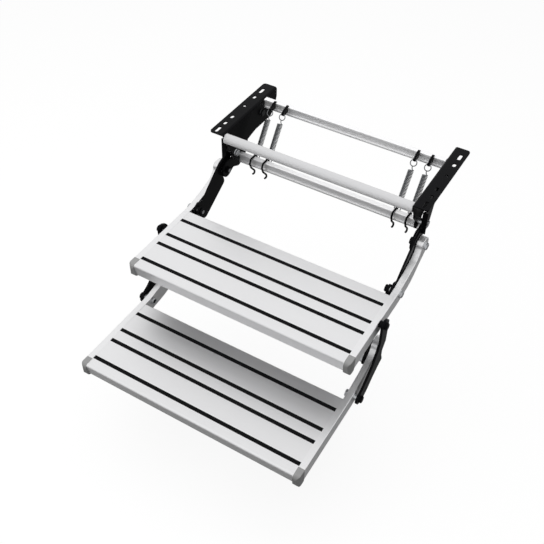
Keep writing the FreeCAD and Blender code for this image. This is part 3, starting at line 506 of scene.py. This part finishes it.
def spring_tree(reach, low_loop):
    """Close-wound springs with a round loop at each end, one on each point."""
    tree, given = new_geometry("coil springs", {
        "Coil radius": COIL_R - WIRE_R, "Wire radius": WIRE_R, "Loop radius": LOOP_R,
        "Coil start": COIL_START, "Coil length": COIL_LENGTH, "Low loop": low_loop,
        "Turns": COIL_LENGTH / COIL_PITCH})
    wire = add_node(tree, "GeometryNodeCurvePrimitiveCircle", None, {
        "Resolution": WIRE_STEPS, "Radius": given["Wire radius"]})
    helix = add_node(tree, "GeometryNodeCurveSpiral", None, {
        "Resolution": TURN_STEPS, "Rotations": given["Turns"], "Start Radius": given["Coil radius"],
        "End Radius": given["Coil radius"], "Height": given["Coil length"]})
    coil = add_node(tree, "GeometryNodeCurveToMesh", None, {
        "Curve": helix.outputs["Curve"], "Profile Curve": wire.outputs["Curve"], "Fill Caps": True})
    start = add_node(tree, "ShaderNodeCombineXYZ", None, {"Z": given["Coil start"]})
    coil_at = add_node(tree, "GeometryNodeTransform", None, {
        "Geometry": coil.outputs["Mesh"], "Translation": start.outputs["Vector"]})
    loop_path = add_node(tree, "GeometryNodeCurvePrimitiveCircle", None, {
        "Resolution": LOOP_STEPS, "Radius": given["Loop radius"]})
    loop = add_node(tree, "GeometryNodeCurveToMesh", None, {
        "Curve": loop_path.outputs["Curve"], "Profile Curve": wire.outputs["Curve"]})
    spring = add_node(tree, "GeometryNodeJoinGeometry")
    tree.links.new(coil_at.outputs["Geometry"], spring.inputs["Geometry"])
    end = add_node(tree, "ShaderNodeMath", {"operation": "ADD"}, {
        0: given["Coil start"], 1: given["Coil length"]})
    # Z runs down the spring. Ends: (middle of the loop, end of the coil, which way the coil lies)
    ends = (
        (given["Loop radius"], given["Coil start"], 1.0),
        (given["Low loop"], end.outputs["Value"], -1.0),
    )
    for middle, coil_end, sign in ends:
        loop_place = add_node(tree, "ShaderNodeCombineXYZ", None, {"Z": middle})
        loop_at = add_node(tree, "GeometryNodeTransform", None, {
            "Geometry": loop.outputs["Mesh"], "Translation": loop_place.outputs["Vector"],
            "Rotation": (math.pi / 2, 0.0, 0.0)})
        tree.links.new(loop_at.outputs["Geometry"], spring.inputs["Geometry"])
        neck_from = add_node(tree, "ShaderNodeMath", {"operation": "MULTIPLY_ADD"}, {
            0: given["Loop radius"], 1: sign, 2: middle})
        neck_start = add_node(tree, "ShaderNodeCombineXYZ", None, {"Z": neck_from.outputs["Value"]})
        neck_bend = add_node(tree, "ShaderNodeMath", {"operation": "MULTIPLY_ADD"}, {
            0: given["Wire radius"], 1: -NECK_BEND * sign, 2: coil_end})
        neck_middle = add_node(tree, "ShaderNodeCombineXYZ", None, {"Z": neck_bend.outputs["Value"]})
        neck_end = add_node(tree, "ShaderNodeCombineXYZ", None, {
            "X": given["Coil radius"], "Z": coil_end})
        neck_path = add_node(tree, "GeometryNodeCurveQuadraticBezier", None, {
            "Resolution": NECK_STEPS, "Start": neck_start.outputs["Vector"],
            "Middle": neck_middle.outputs["Vector"], "End": neck_end.outputs["Vector"]})
        neck = add_node(tree, "GeometryNodeCurveToMesh", None, {
            "Curve": neck_path.outputs["Curve"], "Profile Curve": wire.outputs["Curve"],
            "Fill Caps": True})
        tree.links.new(neck.outputs["Mesh"], spring.inputs["Geometry"])
    turn = math.atan2(reach[0], -reach[1])
    instances = add_node(tree, "GeometryNodeInstanceOnPoints", None, {
        "Points": given["Geometry"], "Instance": spring.outputs["Geometry"],
        "Rotation": (math.pi + turn, 0.0, 0.0)})
    close_geometry(tree, instances.outputs["Instances"], SPRING_STEEL)
    return tree


def strip_tree():
    """Ribbed grip strips along X, one on each point, with the point in the middle of the base."""
    tree, given = new_geometry("ribbed grip strips", {
        "Length": TREAD_LENGTH, "Width": STRIP_WIDTH, "Base": STRIP_THICK + STRIP_PROUD - RIB_R,
        "Rib radius": RIB_R, "Ribs": STRIP_RIBS})
    base_size = add_node(tree, "ShaderNodeCombineXYZ", None, {
        "X": given["Length"], "Y": given["Width"], "Z": given["Base"]})
    base = add_node(tree, "GeometryNodeMeshCube", None, {"Size": base_size.outputs["Vector"]})
    half_base = add_node(tree, "ShaderNodeMath", {"operation": "MULTIPLY"}, {0: given["Base"], 1: 0.5})
    base_lift = add_node(tree, "ShaderNodeCombineXYZ", None, {"Z": half_base.outputs["Value"]})
    base_at = add_node(tree, "GeometryNodeTransform", None, {
        "Geometry": base.outputs["Mesh"], "Translation": base_lift.outputs["Vector"]})
    rib = add_node(tree, "GeometryNodeMeshCylinder", None, {
        "Vertices": RIB_STEPS, "Radius": given["Rib radius"], "Depth": given["Length"]})
    rib_along = add_node(tree, "GeometryNodeTransform", None, {
        "Geometry": rib.outputs["Mesh"], "Rotation": (0.0, math.pi / 2, 0.0)})
    free = add_node(tree, "ShaderNodeMath", {"operation": "MULTIPLY_ADD"}, {
        0: given["Rib radius"], 1: -2.0, 2: given["Width"]})
    gaps = add_node(tree, "ShaderNodeMath", {"operation": "SUBTRACT"}, {0: given["Ribs"], 1: 1.0})
    pitch = add_node(tree, "ShaderNodeMath", {"operation": "DIVIDE"}, {
        0: free.outputs["Value"], 1: gaps.outputs["Value"]})
    first = add_node(tree, "ShaderNodeMath", {"operation": "MULTIPLY"}, {
        0: free.outputs["Value"], 1: -0.5})
    first_at = add_node(tree, "ShaderNodeCombineXYZ", None, {
        "Y": first.outputs["Value"], "Z": given["Base"]})
    step = add_node(tree, "ShaderNodeCombineXYZ", None, {"Y": pitch.outputs["Value"]})
    row = add_node(tree, "GeometryNodeMeshLine", None, {
        "Count": given["Ribs"], "Start Location": first_at.outputs["Vector"],
        "Offset": step.outputs["Vector"]})
    ribs = add_node(tree, "GeometryNodeInstanceOnPoints", None, {
        "Points": row.outputs["Mesh"], "Instance": rib_along.outputs["Geometry"]})
    strip = add_node(tree, "GeometryNodeJoinGeometry")
    tree.links.new(base_at.outputs["Geometry"], strip.inputs["Geometry"])
    tree.links.new(ribs.outputs["Instances"], strip.inputs["Geometry"])
    instances = add_node(tree, "GeometryNodeInstanceOnPoints", None, {
        "Points": given["Geometry"], "Instance": strip.outputs["Geometry"]})
    close_geometry(tree, instances.outputs["Instances"], RUBBER)
    return tree


# Pieces

# Bolts: (CAD node, body, finish, pivot, face under the head, far end of the shank, head outward)
BOLTS = (
    ("leg_pivot_bolts", "bracket", "zinc_steel", LEG_TOP, PLATE_X, LEG_FACE + NUT_THICK, False),
    ("link_pivot_bolts", "bracket", "dark_zinc", LINK_TOP, PLATE_X, LINK_FACE + NUT_THICK, False),
    ("arm_link_bolts", "upper_step", "zinc_steel", LINK_FOOT, ARM_FACE, LINK_X - NUT_THICK, True),
    ("arm_leg_bolts", "upper_step", "zinc_steel", LEG_FOOT, ARM_FACE, LINK_X - NUT_THICK, True),
    ("upper_drop_bolts", "upper_step", "black_steel", OUTER_TOP, OUTER_FACE, ARM_X + BLIND_WALL, True),
    ("lower_drop_bolts", "lower_step", "black_steel", OUTER_FOOT, OUTER_FACE, ARM_X - NUT_THICK, True),
    ("lug_bolts", "lower_step", "zinc_steel", INNER_FOOT, ARM_X, LINK_X - NUT_THICK, True),
)

# Nuts: (CAD node, body, finish, pivot, inner face)
NUTS = (
    ("leg_pivot_nuts", "bracket", "zinc_steel", LEG_TOP, LEG_FACE),
    ("link_pivot_nuts", "bracket", "zinc_steel", LINK_TOP, LINK_FACE),
    ("arm_link_nuts", "upper_step", "black_steel", LINK_FOOT, LINK_X - NUT_THICK),
    ("arm_leg_nuts", "upper_step", "black_steel", LEG_FOOT, LINK_X - NUT_THICK),
    ("lower_drop_nuts", "lower_step", "zinc_steel", OUTER_FOOT, ARM_X - NUT_THICK),
    ("lug_nuts", "lower_step", "zinc_steel", INNER_FOOT, LINK_X - NUT_THICK),
)

BODIES = ("bracket", "upper_step", "lower_step")
# Finishes of fasteners: (name in the tables, material, slot)
FASTENER_FINISHES = (
    ("zinc_steel", ZINC, "zinc_steel"),
    ("dark_zinc", DARK_ZINC, "zinc_steel"),
    ("black_steel", STEEL_BLACK, "black_steel"),
)


def batches(table, make_tree):
    """Share out a table of fasteners by finish and body, with the finish's tree and slot."""
    for finish, material, slot in FASTENER_FINISHES:
        tree = make_tree(material)
        for body in BODIES:
            rows = [row for row in table if row[1] == body and row[2] == finish]
            if rows:
                yield finish, body, slot, tree, rows


def settle(piece, body, slot, rows):
    """Let a mesh of fasteners stand in for its CAD nodes on their body."""
    smooth(piece)
    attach(piece, body)
    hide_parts(*[row[0] for row in rows])


def make_bolts():
    """One mesh of bolts for each body and finish, with a left and a right bolt for each row."""
    for finish, body, slot, tree, rows in batches(BOLTS, bolt_tree):
        points = []
        outward = []
        reach = []
        for *_, pivot, seat, end, heads_out in rows:
            for side in (-1, 1):
                points.append((side * seat, *pivot))
                outward.append((side * (1.0 if heads_out else -1.0), 0.0, 0.0))
                reach.append(abs(end - seat))
        name = "%s_%s_bolts" % (body, finish)
        settle(grow(name, tree, points, outward=outward, reach=reach), body, slot, rows)


def make_nuts():
    """One mesh of nuts for each body and finish, with a left and a right nut for each row."""
    for finish, body, slot, tree, rows in batches(NUTS, nut_tree):
        points = []
        for *_, pivot, inner in rows:
            for side in (-1, 1):
                points.append((side * (inner + NUT_THICK / 2), *pivot))
        settle(grow("%s_%s_nuts" % (body, finish), tree, points), body, slot, rows)


def make_springs():
    """The four coil springs, from their straps' eyes to their hooks."""
    reach = (HOOK_LOW[0] - HOOK_TOP[0], HOOK_LOW[1] - HOOK_TOP[1])
    length = math.hypot(*reach)
    low_loop = length - LOOP_SEAT
    points = [(x, *HOOK_TOP) for x in SPRINGS_X]
    springs = grow("coil_springs", spring_tree(reach, low_loop), points)
    smooth(springs, WIRE_SHARP_TURN)
    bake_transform(springs)
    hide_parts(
        "spring_left_outer", "spring_left_inner", "spring_right_inner", "spring_right_outer")


def make_strips():
    """The grip strips of each tread, in their grooves."""
    tree = strip_tree()
    for step, pivot in (("upper", LEG_FOOT), ("lower", OUTER_FOOT)):
        rear = pivot[0] - TREAD_GAP
        floor = pivot[1] + TREAD_RISE - STRIP_THICK
        points = [(0.0, rear - ahead, floor) for ahead in STRIPS]
        strips = grow(step + "_strips", tree, points)
        smooth(strips)
        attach(strips, step + "_step")
        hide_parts(step + "_grip_strips")


make_bolts()
make_nuts()
make_springs()
make_strips()


# Stage, light and camera

WHITE = (1.0, 1.0, 1.0, 1.0)

FLOOR_Z = -0.58
FLOOR_HALF = 6.0
# How white the floor is to the camera, and how much of its white metal mirrors
FLOOR_WHITE = 0.9
FLOOR_MIRRORED = 0.06

# How strong the world is where it lights, and where it is mirrored
WORLD_LIGHT = 0.5
WORLD_MIRRORED = 1.0

# Soft boxes, both aimed at the middle of the step: (name, place, power, width)
MIDDLE = (0.0, -0.28, -0.18)
LAMPS = (
    ("overhead soft box", (-0.3, -0.4, 2.1), 60.0, 3.0),
    ("front soft box", (-1.8, -1.8, 1.0), 8.0, 1.6),
)


def ray_kinds(tree):
    """Whether a ray comes from the camera, and whether it comes from metal or glass."""
    path = add_node(tree, "ShaderNodeLightPath")
    mirrored = add_node(tree, "ShaderNodeMath", {"operation": "MAXIMUM"}, {
        0: path.outputs["Is Glossy Ray"], 1: path.outputs["Is Transmission Ray"]})
    return path.outputs["Is Camera Ray"], mirrored.outputs["Value"]


def make_floor():
    """A plain floor that reads as white with the step's shadow on it, and lights the step little.

    Metal mirrors only a small share of its white, because the step's faces that look down at it are dark
    in the photograph.
    """
    mesh = bpy.data.meshes.new("floor")
    sides = ((-1, -1), (1, -1), (1, 1), (-1, 1))
    corners = [(x * FLOOR_HALF, y * FLOOR_HALF, FLOOR_Z) for x, y in sides]
    mesh.from_pydata(corners, [], [(0, 1, 2, 3)])
    floor = bpy.data.objects.new("floor", mesh)
    bpy.context.scene.collection.objects.link(floor)
    material, tree, output = new_material("studio floor")
    seen, mirrored = ray_kinds(tree)
    # The camera sees near white, and every other ray meets a mid grey
    paint = add_node(tree, "ShaderNodeMix", {"data_type": "RGBA"}, {
        0: seen, 6: linear("#7c7c7c"), 7: linear("#fafafa")})
    matt = add_node(tree, "ShaderNodeBsdfDiffuse", None, {"Color": paint.outputs[2]})
    glow = add_node(tree, "ShaderNodeEmission", None, {"Color": WHITE, "Strength": 1.0})
    seen_white = add_node(tree, "ShaderNodeMapRange", None, {
        "Value": seen, "To Max": FLOOR_WHITE})
    mirrored_white = add_node(tree, "ShaderNodeMapRange", None, {
        "Value": mirrored, "To Max": FLOOR_MIRRORED})
    white = add_node(tree, "ShaderNodeMath", {"operation": "MAXIMUM"}, {
        0: seen_white.outputs["Result"], 1: mirrored_white.outputs["Result"]})
    mixed = add_node(tree, "ShaderNodeMixShader", None, {
        0: white.outputs["Value"], 1: matt.outputs["BSDF"], 2: glow.outputs["Emission"]})
    surface(tree, output, mixed.outputs["Shader"])
    mesh.materials.append(material)


def make_world():
    """An even pale surround: white where it is seen or mirrored, softer where it lights."""
    world = bpy.data.worlds.new("studio")
    bpy.context.scene.world = world
    world.use_nodes = True
    tree = world.node_tree
    tree.nodes.clear()
    seen, mirrored = ray_kinds(tree)
    lit = add_node(tree, "ShaderNodeMapRange", None, {
        "Value": mirrored, "To Min": WORLD_LIGHT, "To Max": WORLD_MIRRORED})
    strength = add_node(tree, "ShaderNodeMath", {"operation": "MAXIMUM"}, {
        0: lit.outputs["Result"], 1: seen})
    light = add_node(tree, "ShaderNodeBackground", None, {
        "Color": WHITE, "Strength": strength.outputs["Value"]})
    add_node(tree, "ShaderNodeOutputWorld", None, {"Surface": light.outputs["Background"]})


def make_lamp(name, place, power, width):
    """A square soft box that metal doesn't mirror."""
    data = bpy.data.lights.new(name, "AREA")
    data.energy = power
    data.size = width
    lamp = bpy.data.objects.new(name, data)
    lamp.location = place
    lamp.rotation_mode = "QUATERNION"
    lamp.rotation_quaternion = (Vector(MIDDLE) - Vector(place)).to_track_quat("-Z", "Y")
    lamp.visible_glossy = False
    bpy.context.scene.collection.objects.link(lamp)


# The photograph's viewpoint. Angles are in degrees, and the lens and sensor in millimetres
CAMERA_AT = (664.1 * MM, -1461.6 * MM, 1122.2 * MM)
AZIMUTH = 30.192
ELEVATION = 44.736
ROLL = 1.0137
LENS = 52.285
SENSOR = 36.0
CLIP_NEAR = 0.05
CLIP_FAR = 50.0


def make_camera():
    """The camera where the photograph was taken from."""
    azimuth, elevation, roll = (math.radians(angle) for angle in (AZIMUTH, ELEVATION, ROLL))
    back = Vector((
        math.sin(azimuth) * math.cos(elevation),
        -math.cos(azimuth) * math.cos(elevation),
        math.sin(elevation),
    ))
    level = Vector((0, 0, 1)).cross(back).normalized()
    upright = back.cross(level)
    right = math.cos(roll) * level + math.sin(roll) * upright
    up = -math.sin(roll) * level + math.cos(roll) * upright
    data = bpy.data.cameras.new("camera")
    data.lens = LENS
    data.sensor_width = SENSOR
    data.clip_start = CLIP_NEAR
    data.clip_end = CLIP_FAR
    camera = bpy.data.objects.new("camera", data)
    turned = Matrix((right, up, back)).transposed().to_4x4()
    camera.matrix_world = Matrix.Translation(CAMERA_AT) @ turned
    bpy.context.scene.collection.objects.link(camera)
    bpy.context.scene.camera = camera


make_floor()
make_world()
for lamp in LAMPS:
    make_lamp(*lamp)
make_camera()
bpy.context.scene.view_settings.view_transform = "Standard"
